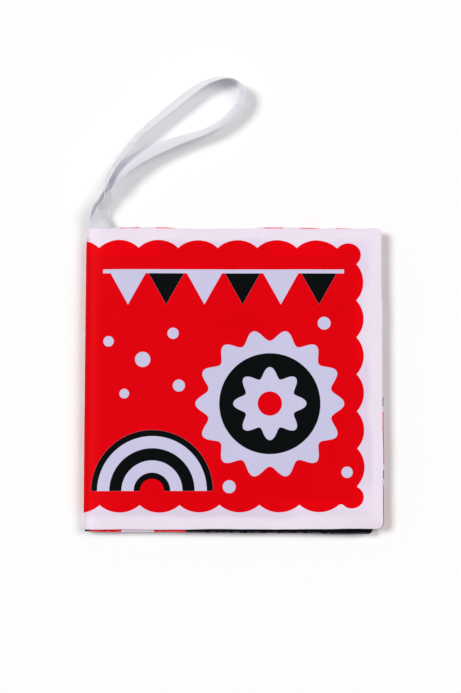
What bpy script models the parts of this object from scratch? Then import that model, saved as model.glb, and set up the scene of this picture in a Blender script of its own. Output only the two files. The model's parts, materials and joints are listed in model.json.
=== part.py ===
# Crinkle cloth book for a baby: four padded cloth leaves that open on the row of stitches down their
# fold, with a ribbon loop sewn into the head of the front cover.
# Metres, +Z up. The closed book lies on its back cover, front cover up, with the spine towards -X and the
# head towards +Y. The origin is the centre of the closed book's footprint, on the surface it lies on.

import math

import bmesh
import bpy
from mathutils import Matrix, Vector

# Book
half_sheet = 0.150              # along the cover's cloth, from the stitches round the spine to the fore edge
sheet_height = 0.150            # tail to head of each sheet
sheet_slip = 0.0012             # the inner sheet lies this much nearer the tail than the cover sheet
inner_step_back = 0.005         # the inner leaves end this far short of the covers' fore edge
corner_radius = 0.004
inner_corner_radius = 0.0004    # where a corner is turned in tighter than its own radius

# Leaf
leaf_thickness = 0.0018
leaf_gap = 0.0003               # air between two closed leaves
cloth_thickness = 0.00025
film_thickness = 0.0001
ply_gap = 0.00012               # air between the plies inside a leaf
seam_allowance = 0.006          # turned-in margin of each cloth
seam_thread_diameter = 0.0003

# Spine
spine_thread_diameter = 0.0004
hinge_clearance = 0.00015       # between the stitches' centre line and the cloth of the spine
stitch_clearance = 0.0003       # between a stitch and the cloth it passes
stitch_length = 0.0035
stitch_margin = 0.006           # first and last stitch in from the cover sheet's tail and head
panel_gap = 0.0003              # between a leaf's flat cloth and the part of it that rolls round the spine

# Ribbon
ribbon_width = 0.010
ribbon_thickness = 0.00025
ribbon_reach = 0.0072           # how far the sewn ends lie past the spine's roll, the rest curves round it
ribbon_tail = 0.0055            # length of each end inside the head seam
ribbon_exit_gap = 0.0003        # between the head of the cover and the free loop
ribbon_pocket_play = 0.00008    # between the sewn ends and the margins trimmed clear of them
ribbon_flatten_length = 0.008   # the loop loses the spine's curve over this length
ribbon_axis_rise = 0.0004       # the loop turns about a line this far above the front cover
ribbon_axis_reach = 0.0006      # and this far beyond its head

# Free course of the ribbon's centre line on the table: x, y, z and the lean of its width from upright, in
# degrees, towards the right-hand side of the way it runs. Its first and last places are at the seam.
ribbon_route = [
    (-0.0676, 0.0803, 0.0059, -60.0),
    (-0.0677, 0.0848, 0.0050, -42.0),
    (-0.0667, 0.0886, 0.0051, -22.0),
    (-0.0659, 0.0916, 0.0053, -9.0),
    (-0.0648, 0.0957, 0.0053, 7.0),
    (-0.0627, 0.1022, 0.0052, 17.0),
    (-0.0589, 0.1091, 0.0051, 19.0),
    (-0.0490, 0.1224, 0.0049, 23.0),
    (-0.0448, 0.1264, 0.0049, 26.0),
    (-0.0366, 0.1336, 0.0047, 30.0),
    (-0.0287, 0.1402, 0.0046, 32.0),
    (-0.0215, 0.1459, 0.0047, 31.0),
    (-0.0156, 0.1500, 0.0048, 28.0),
    (-0.0103, 0.1522, 0.0049, 24.0),
    (-0.0050, 0.1533, 0.0050, 20.0),
    (0.0003, 0.1520, 0.0053, 9.0),
    (0.0038, 0.1472, 0.0053, -12.0),
    (0.0037, 0.1418, 0.0049, -24.0),
    (0.0019, 0.1381, 0.0048, -26.0),
    (-0.0049, 0.1311, 0.0048, -27.0),
    (-0.0143, 0.1256, 0.0048, -29.0),
    (-0.0284, 0.1206, 0.0049, -38.0),
    (-0.0424, 0.1144, 0.0058, -44.0),
    (-0.0523, 0.1082, 0.0067, -45.0),
    (-0.0583, 0.1024, 0.0068, -41.0),
    (-0.0607, 0.0985, 0.0065, -29.0),
    (-0.0620, 0.0955, 0.0061, -12.0),
    (-0.0628, 0.0925, 0.0058, 11.0),
    (-0.0641, 0.0886, 0.0058, 16.0),
    (-0.0658, 0.0848, 0.0060, 28.0),
    (-0.0662, 0.0807, 0.0072, 47.0),
]

# Counts
turn_steps = 6                  # facets of a cloth's turned edge
corner_steps = 4                # facets of a leaf's corner
spine_steps = 8                 # facets of a quarter of the spine
ribbon_steps = 60               # stretches of the free ribbon
ribbon_strips = 4               # strips across the ribbon
cutter_overrun = 0.001

# Worked out from the sizes above
leaf_names = ["back_cover", "third_leaf", "second_leaf", "front_cover"]
leaf_pitch = leaf_thickness + leaf_gap
book_thickness = leaf_thickness + leaf_pitch * (len(leaf_names) - 1)
mid_height = book_thickness / 2
rolled_half = math.pi / 2 * mid_height              # of the cover's cloth, taken up by its half of the spine
book_width = spine_thread_diameter / 2 + hinge_clearance + mid_height + half_sheet - rolled_half
hinge_x = -book_width / 2 + spine_thread_diameter / 2
spine_x = hinge_x + hinge_clearance + mid_height    # where the spine's roll runs into the flat leaves
panel_x = spine_x + panel_gap
seam_gap = seam_thread_diameter + 2 * ply_gap       # between the two cloths' turned-in margins
wadding_thickness = leaf_thickness - 2 * cloth_thickness - film_thickness - 3 * ply_gap
slit = spine_thread_diameter + 2 * stitch_clearance  # left open along the fold for the stitches
cover_tail = -(sheet_height - sheet_slip) / 2
cover_head = (sheet_height + sheet_slip) / 2
inner_tail = -cover_head
inner_head = -cover_tail
cover_fore = book_width / 2
inner_fore = cover_fore - inner_step_back


def clear_scene():
    for old in list(bpy.data.objects):
        bpy.data.objects.remove(old)


def new_collection(name):
    collection = bpy.data.collections.new(name)
    bpy.context.scene.collection.children.link(collection)
    return collection


def new_material(name, colour, roughness, alpha=1.0):
    material = bpy.data.materials.new(name)
    material.use_nodes = True
    shader = material.node_tree.nodes["Principled BSDF"]
    shader.inputs["Base Color"].default_value = (*colour, 1.0)
    shader.inputs["Roughness"].default_value = roughness
    shader.inputs["Metallic"].default_value = 0.0
    shader.inputs["Alpha"].default_value = alpha
    return material


def new_axis(name, place, parent=None):
    """An empty on a joint's axis, which carries the pieces that turn with it."""
    axis = bpy.data.objects.new(name, None)
    axis.empty_display_size = leaf_thickness
    axis.location = place
    if parent:
        axis.parent = parent
        axis.location = Vector(place) - Vector(parent["place"])
    axis["place"] = place
    book.objects.link(axis)
    return axis


def new_piece(name, data, material, axis):
    piece = bpy.data.objects.new(name, data)
    data.materials.append(material)
    book.objects.link(piece)
    if axis:
        piece.parent = axis
        piece.matrix_parent_inverse = Matrix.Translation(-Vector(axis["place"]))
    return piece


def mesh_from(name, corners, faces):
    shape = bmesh.new()
    verts = [shape.verts.new(place) for place in corners]
    for face in faces:
        shape.faces.new([verts[i] for i in face])
    mesh = bpy.data.meshes.new(name)
    shape.to_mesh(mesh)
    shape.free()
    return mesh


def thicken(piece, thickness):
    """Gives an open cloth its thickness, on the side away from its outer face."""
    shell = piece.modifiers.new("cloth", "SOLIDIFY")
    shell.thickness = thickness
    shell.offset = -1
    shell.use_even_offset = True
    return shell


def leaf_middle(level):
    return leaf_thickness / 2 + leaf_pitch * level


def leaf_edges(level):
    """Tail, head and fore edge of a leaf: covers are the lowest and the highest."""
    if level in (0, len(leaf_names) - 1):
        return cover_tail, cover_head, cover_fore
    return inner_tail, inner_head, inner_fore


def three_sides(level, inset):
    """Outline of a leaf from the spine along the tail, the fore edge and the head, moved in by inset."""
    tail, head, fore = leaf_edges(level)
    radius = max(corner_radius - inset, inner_corner_radius)
    x = fore - inset - radius
    points = [(panel_x, tail + inset)]
    for y, start in ((tail + inset + radius, -90), (head - inset - radius, 0)):
        for step in range(corner_steps + 1):
            angle = math.radians(start + 90 * step / corner_steps)
            points.append((x + radius * math.cos(angle), y + radius * math.sin(angle)))
    points.append((panel_x, head - inset))
    return points


def cloth_panel(name, level, side, material, axis):
    """One cloth of a leaf. side is 1 for the upper cloth and -1 for the lower one: its margin is turned in
    at the seam, it turns round at the edge and runs flat across the leaf."""
    middle = leaf_middle(level)
    seam = seam_gap / 2
    turn = (leaf_thickness / 2 - seam) / 2
    rings = [(seam_allowance, seam)]
    for step in range(turn_steps + 1):
        angle = math.pi * step / turn_steps
        rings.append((turn * (1 - math.sin(angle)), seam + turn * (1 - math.cos(angle))))
    corners = []
    for inset, height in rings:
        corners += [(x, y, middle + side * height) for x, y in three_sides(level, inset)]
    count = len(corners) // len(rings)
    faces = []
    for ring in range(len(rings) - 1):
        for i in range(count - 1):
            low = ring * count + i
            faces.append((low, low + 1, low + 1 + count, low + count))
    faces.append(tuple(range(len(corners) - count, len(corners))))
    if side < 0:
        faces = [face[::-1] for face in faces]
    piece = new_piece(name, mesh_from(name, corners, faces), material, axis)
    thicken(piece, cloth_thickness)
    return piece


def flat_ply(name, level, height, thickness, material, axis):
    """A sheet between the two cloths, cut to end at their turned-in margins."""
    outline = three_sides(level, seam_allowance + ply_gap)
    curve = bpy.data.curves.new(name, "CURVE")
    curve.dimensions = "2D"
    curve.fill_mode = "BOTH"
    curve.extrude = thickness / 2
    spline = curve.splines.new("POLY")
    spline.points.add(len(outline) - 1)
    for point, (x, y) in zip(spline.points, outline):
        point.co = (x, y, 0, 1)
    spline.use_cyclic_u = True
    piece = new_piece(name, curve, material, axis)
    piece.location.z = height
    return piece


def thread(name, course, diameter, material, axis, sides=2):
    curve = bpy.data.curves.new(name, "CURVE")
    curve.dimensions = "3D"
    curve.bevel_depth = diameter / 2
    curve.bevel_resolution = sides
    curve.use_fill_caps = True
    spline = curve.splines.new("POLY")
    spline.points.add(len(course) - 1)
    for point, place in zip(spline.points, course):
        point.co = (*place, 1)
    return new_piece(name, curve, material, axis)


def seam_thread(name, level, material, axis):
    inset = cloth_thickness + seam_thread_diameter
    course = [(x, y, leaf_middle(level)) for x, y in three_sides(level, inset)]
    return thread(name, course, seam_thread_diameter, material, axis)


def roll_point(radius, along):
    """A place on a ply that runs flat over the spine's roll and then down round it, at this radius: along is
    the distance from where the roll starts, and is negative down the roll."""
    if along >= 0:
        return spine_x + along, mid_height + radius
    angle = -along / radius
    return spine_x - radius * math.sin(angle), mid_height + radius * math.cos(angle)


def rolled_cloth(name, section, tail, head, thickness, material, axis):
    """A cloth with this outer face in XZ, which looks away from the spine's centre, from tail to head."""
    shape = bmesh.new()
    verts = [shape.verts.new((x, tail, z)) for x, z in section]
    edges = [shape.edges.new(pair) for pair in zip(verts, verts[1:])]
    made = bmesh.ops.extrude_edge_only(shape, edges=edges)
    moved = [v for v in made["geom"] if isinstance(v, bmesh.types.BMVert)]
    bmesh.ops.translate(shape, verts=moved, vec=(0, head - tail, 0))
    shape.normal_update()
    shape.faces.ensure_lookup_table()
    strip = shape.faces[0]
    if strip.normal.dot(strip.calc_center_median() - Vector((spine_x, 0, mid_height))) < 0:
        bmesh.ops.reverse_faces(shape, faces=shape.faces)
    mesh = bpy.data.meshes.new(name)
    shape.to_mesh(mesh)
    shape.free()
    piece = new_piece(name, mesh, material, axis)
    thicken(piece, thickness)
    return piece


def spine_cloth(name, level, height, material, axis):
    """The part of a cloth that rolls round the spine, as far as the stitches. height is its outer face's."""
    tail, head, _ = leaf_edges(level)
    radius = abs(height - mid_height)
    side = math.copysign(1, height - mid_height)
    last = math.acos(slit / 2 / radius)
    section = []
    for step in range(spine_steps + 1):
        angle = last * step / spine_steps
        section.append((spine_x - radius * math.sin(angle), mid_height + side * radius * math.cos(angle)))
    piece = rolled_cloth(name, section, tail, head, cloth_thickness, material, axis)
    return piece


def spine_stitches(name, material, axis):
    """One thread that runs in and out through the fold, in the gap between the two halves of each sheet."""
    outside = hinge_x
    inside = spine_x - spine_thread_diameter - stitch_clearance
    usable = cover_head - cover_tail - 2 * stitch_margin
    pairs = int(usable / (2 * stitch_length))
    corner = spine_thread_diameter
    y = (cover_head + cover_tail) / 2 - pairs * stitch_length + stitch_length / 2
    course = []
    for stitch in range(2 * pairs):
        x, other = (outside, inside) if stitch % 2 == 0 else (inside, outside)
        turn = math.copysign(corner, other - x)
        if stitch:
            course.append((x + turn, y, mid_height))
            course.append((x, y + corner, mid_height))
        else:
            course.append((x, y, mid_height))
        y += stitch_length
        if stitch == 2 * pairs - 1:
            course.append((x, y, mid_height))
        else:
            course.append((x, y - corner, mid_height))
            course.append((x + turn, y, mid_height))
    return thread(name, course, spine_thread_diameter, material, axis, sides=1)


def ribbon_end_radius(upper):
    """Radius, about the spine's centre line, of the middle of each sewn end: one lies above the seam thread
    and one below it."""
    away = seam_thread_diameter / 2 + ply_gap + ribbon_thickness / 2
    return leaf_middle(len(leaf_names) - 1) - mid_height + (away if upper else -away)


def ribbon_end(name, upper, material, axis):
    """A sewn end: flat beside the spine and curved down round it with the cover."""
    radius = ribbon_end_radius(upper) + ribbon_thickness / 2
    section = []
    for step in range(spine_steps + 1):
        section.append(roll_point(radius, (ribbon_reach - ribbon_width) * (1 - step / spine_steps)))
    section.append(roll_point(radius, ribbon_reach))
    return rolled_cloth(name, section, cover_head - ribbon_tail, cover_head, ribbon_thickness, material, axis)


def smooth(points, share):
    """A place on a smooth curve through all the points, at a share of its length in points."""
    last = len(points) - 1
    i = min(int(share * last), last - 1)
    t = share * last - i
    a, b, c, d = (points[min(max(i + k, 0), last)] for k in (-1, 0, 1, 2))
    place = []
    for p, q, r, s in zip(a, b, c, d):
        place.append(q + t / 2 * (r - p + t * (2 * p - 5 * q + 4 * r - s + t * (3 * (q - r) + s - p))))
    return place


def ribbon_course():
    """Points of the free ribbon from seam to seam: x, y, z and lean."""
    middle = ribbon_reach - ribbon_width / 2
    course = []
    for upper, lean in ((False, -90.0), (True, 90.0)):
        x, z = roll_point(ribbon_end_radius(upper), middle)
        course.append((x, cover_head + ribbon_exit_gap, z, lean))
    return [course[0], *ribbon_route, course[1]]


def ribbon_loop(name, material, axis):
    """The free loop: a flat strip that leaves the seam with the cover's curve, turns up on edge and lies
    on the table."""
    course = ribbon_course()
    half = ribbon_thickness / 2
    rows = []
    for k in range(ribbon_steps + 1):
        share = k / ribbon_steps
        x, y, z, lean = smooth(course, share)
        ahead = Vector(smooth(course, min(share + 1 / ribbon_steps, 1))[:3])
        behind = Vector(smooth(course, max(share - 1 / ribbon_steps, 0))[:3])
        run = (ahead - behind).normalized()
        if k in (0, ribbon_steps):
            run = Vector((0, 1 if k == 0 else -1, 0))
        right = run.cross(Vector((0, 0, 1))).normalized()
        upward = right.cross(run)
        across = upward * math.cos(math.radians(lean)) + right * math.sin(math.radians(lean))
        face = across.cross(run)
        outgoing = share < 1 / 2
        curl = max(0, 1 - (y - cover_head) / ribbon_flatten_length)
        row = []
        for side in (half, -half):
            for strip in range(ribbon_strips + 1):
                place = ribbon_width * (strip / ribbon_strips - 1 / 2)
                flat = Vector((x, y, z)) + across * place + face * side
                along = ribbon_reach - ribbon_width / 2 - place
                above = -side if outgoing else side
                rolled = roll_point(ribbon_end_radius(not outgoing) + above, along)
                rolled = Vector((rolled[0], y, rolled[1]))
                rolled.z += z - course[0 if outgoing else -1][2]
                row.append(flat.lerp(rolled, curl * curl))
        rows.append(row)
    return strip_solid(name, rows, material, axis)


def strip_solid(name, rows, material, axis):
    """A closed strip through rows of corners, each row's first half on one face and the rest on the other."""
    across = len(rows[0]) // 2
    loop = list(range(across)) + list(range(2 * across - 1, across - 1, -1))
    count = len(loop)
    corners = [row[i] for row in rows for i in loop]
    faces = []
    for k in range(len(rows) - 1):
        for i in range(count):
            j = (i + 1) % count
            faces.append((k * count + i, k * count + j, (k + 1) * count + j, (k + 1) * count + i))
    for start in (0, (len(rows) - 1) * count):
        for i in range(across - 1):
            quad = (start + i, start + i + 1, start + count - 2 - i, start + count - 1 - i)
            faces.append(quad if start else quad[::-1])
    mesh = mesh_from(name, corners, faces)
    shape = bmesh.new()
    shape.from_mesh(mesh)
    bmesh.ops.recalc_face_normals(shape, faces=shape.faces)
    shape.to_mesh(mesh)
    shape.free()
    return new_piece(name, mesh, material, axis)


def pocket_cutter():
    """Trims the front cover's turned-in margins clear of the ribbon's ends and opens the seam for them."""
    right = spine_x + ribbon_reach + stitch_clearance
    low = Vector((panel_x - cutter_overrun, cover_head - seam_allowance - cutter_overrun, 0))
    high = Vector((right, cover_head + cutter_overrun, 0))
    half = seam_thread_diameter / 2 + ply_gap + ribbon_thickness + ribbon_pocket_play
    low.z = leaf_middle(len(leaf_names) - 1) - half
    high.z = low.z + 2 * half
    bpy.ops.mesh.primitive_cube_add(size=1, location=(low + high) / 2)
    cutter = bpy.context.object
    cutter.name = "ribbon_pocket_cutter"
    cutter.scale = high - low
    for other in list(cutter.users_collection):
        other.objects.unlink(cutter)
    cutters.objects.link(cutter)
    cutter.hide_render = True
    cutter.display_type = "WIRE"
    return cutter


def cut(piece, cutter):
    pocket = piece.modifiers.new("ribbon_pocket", "BOOLEAN")
    pocket.object = cutter
    pocket.operation = "DIFFERENCE"
    pocket.solver = "EXACT"


def leaf(level, axis, upper_material, lower_material):
    """All the plies of one leaf. A cover's outer cloth faces out, and the inner sheet is folded alike."""
    name = leaf_names[level]
    upper_half = level >= len(leaf_names) / 2
    upper_name, lower_name = ("outer", "inner") if upper_half else ("inner", "outer")
    upper = cloth_panel(f"{name}_{upper_name}_cloth", level, 1, upper_material, axis)
    lower = cloth_panel(f"{name}_{lower_name}_cloth", level, -1, lower_material, axis)
    middle = leaf_middle(level)
    outward = 1 if upper_half else -1
    film_height = leaf_thickness / 2 - cloth_thickness - ply_gap - film_thickness / 2
    wadding_height = wadding_thickness / 2 + cloth_thickness + ply_gap - leaf_thickness / 2
    flat_ply(f"{name}_crinkle_film", level, middle + outward * film_height, film_thickness, film, axis)
    flat_ply(f"{name}_wadding", level, middle + outward * wadding_height, wadding_thickness, wadding, axis)
    seam_thread(f"{name}_seam_thread", level, white_thread, axis)
    outer_material = upper_material if upper_half else lower_material
    outer_face = middle + outward * leaf_thickness / 2
    spine_cloth(f"{name}_spine_outer_cloth", level, outer_face, outer_material, axis)
    if level in (0, len(leaf_names) - 1):
        inner_material = lower_material if upper_half else upper_material
        inner_face = middle - outward * (leaf_thickness / 2 - cloth_thickness)
        spine_cloth(f"{name}_spine_inner_cloth", level, inner_face, inner_material, axis)
    return upper, lower


clear_scene()
book = new_collection("crinkle_cloth_book")
cutters = new_collection("cutters")

red_cloth = new_material("red_print_cloth", (0.77, 0.0, 0.004), 0.75)
red_page = new_material("red_page_cloth", (0.77, 0.0, 0.004), 0.8)
black_page = new_material("black_page_cloth", (0.01, 0.012, 0.012), 0.8)
white_page = new_material("white_page_cloth", (0.80, 0.74, 0.83), 0.8)
film = new_material("crinkle_film", (0.85, 0.87, 0.9), 0.25, alpha=0.6)
wadding = new_material("wadding", (0.92, 0.92, 0.9), 0.95)
white_thread = new_material("white_thread", (0.9, 0.88, 0.92), 0.7)
ribbon = new_material("white_ribbon", (0.82, 0.8, 0.9), 0.6)

fold = (hinge_x, 0, mid_height)
third_axis = new_axis("third_leaf_axis", fold)
second_axis = new_axis("second_leaf_axis", fold, third_axis)
front_axis = new_axis("front_cover_axis", fold, second_axis)
ribbon_place = (spine_x + ribbon_reach - ribbon_width / 2, cover_head + ribbon_axis_reach,
                book_thickness + ribbon_axis_rise)
ribbon_axis = new_axis("ribbon_axis", ribbon_place, front_axis)

leaf(0, None, white_page, red_cloth)
leaf(1, third_axis, black_page, white_page)
leaf(2, second_axis, black_page, white_page)
front_cloths = leaf(3, front_axis, red_cloth, red_page)
pocket = pocket_cutter()
for cloth in front_cloths:
    cut(cloth, pocket)
ribbon_end("ribbon_upper_end", True, ribbon, front_axis)
ribbon_end("ribbon_lower_end", False, ribbon, front_axis)
ribbon_loop("ribbon_loop", ribbon, ribbon_axis)
spine_stitches("spine_stitches", white_thread, third_axis)
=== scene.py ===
import json
import math
from functools import partialmethod

import bmesh
import bpy
import numpy as np
from mathutils import Matrix, Vector


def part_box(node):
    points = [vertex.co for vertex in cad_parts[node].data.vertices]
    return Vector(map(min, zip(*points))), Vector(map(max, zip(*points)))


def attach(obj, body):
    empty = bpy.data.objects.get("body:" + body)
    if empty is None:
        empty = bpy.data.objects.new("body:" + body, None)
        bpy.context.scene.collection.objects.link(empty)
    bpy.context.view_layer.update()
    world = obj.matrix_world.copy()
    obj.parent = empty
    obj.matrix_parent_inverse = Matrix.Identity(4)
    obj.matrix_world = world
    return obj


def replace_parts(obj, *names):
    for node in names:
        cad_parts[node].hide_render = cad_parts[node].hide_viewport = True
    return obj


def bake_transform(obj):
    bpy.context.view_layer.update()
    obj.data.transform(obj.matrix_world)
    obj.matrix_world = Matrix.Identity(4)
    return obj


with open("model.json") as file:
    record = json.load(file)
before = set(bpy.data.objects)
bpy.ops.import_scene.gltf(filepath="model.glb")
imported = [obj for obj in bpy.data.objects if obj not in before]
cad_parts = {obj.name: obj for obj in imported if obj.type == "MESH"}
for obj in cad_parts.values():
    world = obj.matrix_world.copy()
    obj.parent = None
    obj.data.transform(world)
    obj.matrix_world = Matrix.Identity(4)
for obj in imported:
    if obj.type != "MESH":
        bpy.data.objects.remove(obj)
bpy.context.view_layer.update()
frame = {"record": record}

mm = 0.001
scene = bpy.context.scene

# what the CAD says: the line of the spine stitches, and the two kinds of leaf
leafNames = ["back_cover", "third_leaf", "second_leaf", "front_cover"]
hinge = next(j for j in frame["record"]["behaviour"]["joints"] if j["name"] == "front_cover_hinge")
hingeX, _, midZ = hinge["pos_m"]
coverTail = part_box("front_cover_outer_cloth")[0][1]
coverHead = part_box("front_cover_outer_cloth")[1][1]

# camera
cameraSetup = {
    "target": (-0.00146, 0.0165, 0.004),
    "distance": 0.9,
    "elevation": 83.9,
    "roll": 0.09,
    "focalPixels": 1804.95,
    "imageWidth": 461,
    "sensor": 36.0,
}


def makeCamera(setup):
    data = bpy.data.cameras.new("camera")
    data.sensor_fit = "HORIZONTAL"
    data.sensor_width = setup["sensor"]
    data.lens = setup["focalPixels"] * setup["sensor"] / setup["imageWidth"]
    camera = bpy.data.objects.new("camera", data)
    scene.collection.objects.link(camera)
    tilt = math.radians(setup["elevation"])
    back = Vector((0, -math.cos(tilt), math.sin(tilt)))
    camera.location = Vector(setup["target"]) + back * setup["distance"]
    look = (-back).to_track_quat("-Z", "Y").to_matrix()
    camera.rotation_euler = (look @ Matrix.Rotation(math.radians(setup["roll"]), 3, "Z")).to_euler()
    scene.camera = camera


makeCamera(cameraSetup)
print("camera ready")

# each cloth's roll at the spine: how far from the stitch line it starts, its width and its roundness
spineRoll = {
    "coverOuter": {"inset": 0.0, "width": 9.0 * mm, "power": 2.3},
    "coverInner": {"inset": 0.5 * mm, "width": 7.0 * mm, "power": 2.3},
    "sheetOuter": {"inset": 0.55 * mm, "width": 6.4 * mm, "power": 2.3},
    "sheetInner": {"inset": 1.05 * mm, "width": 2.0 * mm, "power": 2.0},
    "flatFrom": 9.2 * mm,
    "columns": 18,
}


def rollHeight(kind, x, height):
    # height of a face above the middle of the book, x from the stitch line
    roll = spineRoll[kind]
    share = np.clip(1 - (x - roll["inset"]) / roll["width"], 0, 1)
    return height * (1 - share ** roll["power"]) ** (1 / roll["power"])


# the ribbon: its route is x, y, z of its centre line and the lean of its width from upright
ribbonSetup = {
    "width": 10.0 * mm,
    "thickness": 0.3 * mm,
    "baseX": -0.0674191,
    "exitGap": 0.3 * mm,
    "sewnLength": 5.5 * mm,
    "plyOffset": 0.17 * mm,
    "seamSpan": (0.6 * mm, 20 * mm),      # stretch of the head seam that its ends may follow
    "flattenLength": 8.0 * mm,
    "steps": 220,
    "strips": 10,
    "cup": 0.35 * mm,
    "length": 0.227,
    "route": [
        (-0.0676, 0.0803, 0.0059, -60.0),
        (-0.0677, 0.0848, 0.0050, -42.0),
        (-0.0667, 0.0886, 0.0051, -22.0),
        (-0.0659, 0.0916, 0.0053, -9.0),
        (-0.0648, 0.0957, 0.0053, 7.0),
        (-0.0627, 0.1022, 0.0052, 17.0),
        (-0.0589, 0.1091, 0.0051, 19.0),
        (-0.0490, 0.1224, 0.0049, 23.0),
        (-0.0448, 0.1264, 0.0049, 26.0),
        (-0.0366, 0.1336, 0.0047, 30.0),
        (-0.0287, 0.1402, 0.0046, 32.0),
        (-0.0215, 0.1459, 0.0047, 31.0),
        (-0.0156, 0.1500, 0.0048, 28.0),
        (-0.0103, 0.1522, 0.0049, 24.0),
        (-0.0050, 0.1533, 0.0050, 20.0),
        (0.0003, 0.1520, 0.0053, 9.0),
        (0.0038, 0.1472, 0.0053, -12.0),
        (0.0037, 0.1418, 0.0049, -24.0),
        (0.0019, 0.1381, 0.0048, -26.0),
        (-0.0049, 0.1311, 0.0048, -27.0),
        (-0.0143, 0.1256, 0.0048, -29.0),
        (-0.0284, 0.1206, 0.0049, -38.0),
        (-0.0424, 0.1144, 0.0058, -44.0),
        (-0.0523, 0.1082, 0.0067, -45.0),
        (-0.0583, 0.1024, 0.0068, -41.0),
        (-0.0607, 0.0985, 0.0065, -29.0),
        (-0.0620, 0.0955, 0.0061, -12.0),
        (-0.0628, 0.0925, 0.0058, 11.0),
        (-0.0641, 0.0886, 0.0058, 16.0),
        (-0.0658, 0.0848, 0.0060, 28.0),
        (-0.0662, 0.0807, 0.0072, 47.0),
    ],
}


def newPiece(name, places, faces, material=None):
    mesh = bpy.data.meshes.new(name)
    mesh.from_pydata([tuple(p) for p in places], [], faces)
    mesh.validate()
    piece = bpy.data.objects.new(name, mesh)
    scene.collection.objects.link(piece)
    if material:
        mesh.materials.append(material)
    return piece


def smoothPlace(places, share):
    # a place on a smooth curve through all the places
    last = len(places) - 1
    i = min(int(share * last), last - 1)
    t = share * last - i
    a, b, c, d = (places[min(max(i + k, 0), last)] for k in (-1, 0, 1, 2))
    return [q + t / 2 * (r - p + t * (2 * p - 5 * q + 4 * r - s + t * (3 * (q - r) + s - p)))
            for p, q, r, s in zip(a, b, c, d)]


def seamLine():
    # the middle between the front cover's two cloths, from the stitch line to the right, as x and height
    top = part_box("front_cover_outer_cloth")[1][2] - midZ
    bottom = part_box("front_cover_inner_cloth")[0][2] - midZ
    x = np.linspace(*ribbonSetup["seamSpan"], 200)
    middle = (rollHeight("coverOuter", x, top) + rollHeight("coverInner", x, bottom)) / 2
    run = np.concatenate([[0], np.cumsum(np.hypot(np.diff(x), np.diff(middle)))])
    return x + hingeX, middle + midZ, run


seamX, seamZ, seamRun = seamLine()


def tapePlace(across, lift):
    # a place on the ribbon where it is sewn in: across its width, and its height off the seam's middle
    base = np.interp(ribbonSetup["baseX"], seamX, seamRun)
    at = base + across
    step = 0.2 * mm
    x, z = np.interp(at, seamRun, seamX), np.interp(at, seamRun, seamZ)
    dx = np.interp(at + step, seamRun, seamX) - np.interp(at - step, seamRun, seamX)
    dz = np.interp(at + step, seamRun, seamZ) - np.interp(at - step, seamRun, seamZ)
    size = math.hypot(dx, dz)
    return Vector((x - dz / size * lift, 0, z + dx / size * lift))


def stripFaces(rowCount, across):
    # a closed strip: each row holds the corners of its one face and then of the other
    loop = list(range(across)) + list(range(2 * across - 1, across - 1, -1))
    count = len(loop)
    faces = []
    for k in range(rowCount - 1):
        for i in range(count):
            a, b = loop[i], loop[(i + 1) % count]
            faces.append((k * count + a, k * count + b, (k + 1) * count + b, (k + 1) * count + a))
    for start in (0, (rowCount - 1) * count):
        for i in range(across - 1):
            quad = [start + i, start + i + 1, start + across + i + 1, start + across + i]
            faces.append(quad if start else quad[::-1])
    return faces


def facingOut(piece):
    shape = bmesh.new()
    shape.from_mesh(piece.data)
    bmesh.ops.recalc_face_normals(shape, faces=shape.faces)
    shape.to_mesh(piece.data)
    shape.free()
    piece.data.shade_smooth()
    piece.data.set_sharp_from_angle(angle=math.radians(60))


def storeCut(piece, values):
    # where each point lies on the flat cloth, for its print and weave
    layer = piece.data.attributes.new("cut", "FLOAT_VECTOR", "POINT")
    layer.data.foreach_set("vector", np.asarray(values, np.float32).ravel())


def makeRibbon(setup, material):
    half, width, strips = setup["thickness"] / 2, setup["width"], setup["strips"]
    course, baseZ = [], {}
    for upper, lean in ((False, -90.0), (True, 90.0)):
        place = tapePlace(0, setup["plyOffset"] * (1 if upper else -1))
        baseZ[upper] = place.z
        course.append((place.x, coverHead + setup["exitGap"], place.z, lean))
    course = [course[0], *setup["route"], course[1]]
    places, cut, centres = [], [], []
    run = 0.0
    for k in range(setup["steps"] + 1):
        share = k / setup["steps"]
        x, y, z, lean = smoothPlace(course, share)
        ahead = Vector(smoothPlace(course, min(share + 1 / setup["steps"], 1))[:3])
        behind = Vector(smoothPlace(course, max(share - 1 / setup["steps"], 0))[:3])
        heading = (ahead - behind).normalized()
        if k in (0, setup["steps"]):
            heading = Vector((0, 1 if k == 0 else -1, 0))
        right = heading.cross(Vector((0, 0, 1))).normalized()
        upward = right.cross(heading)
        across = upward * math.cos(math.radians(lean)) + right * math.sin(math.radians(lean))
        face = across.cross(heading)
        upper = share > 1 / 2
        curl = max(0, 1 - (y - coverHead) / setup["flattenLength"])
        centre = Vector((x, y, z))
        if centres:
            run += (centre - centres[-1]).length
        centres.append(centre)
        for side in (half, -half):
            for strip in range(strips + 1):
                at = strip / strips - 1 / 2
                bow = setup["cup"] * (1 - 4 * at * at) * (1 - curl)
                flat = centre + across * width * at + face * (side + bow)
                above = (side if upper else -side) + setup["plyOffset"] * (1 if upper else -1)
                rolled = tapePlace(-at * width, above)
                rolled = Vector((rolled.x, y, rolled.z + z - baseZ[upper]))
                places.append(flat.lerp(rolled, curl * curl))
                cut.append((run, at * width, 0))
    ribbon = newPiece("ribbon_loop_tape", places, stripFaces(setup["steps"] + 1, strips + 1), material)
    storeCut(ribbon, cut)
    facingOut(ribbon)
    return ribbon, centres


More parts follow.
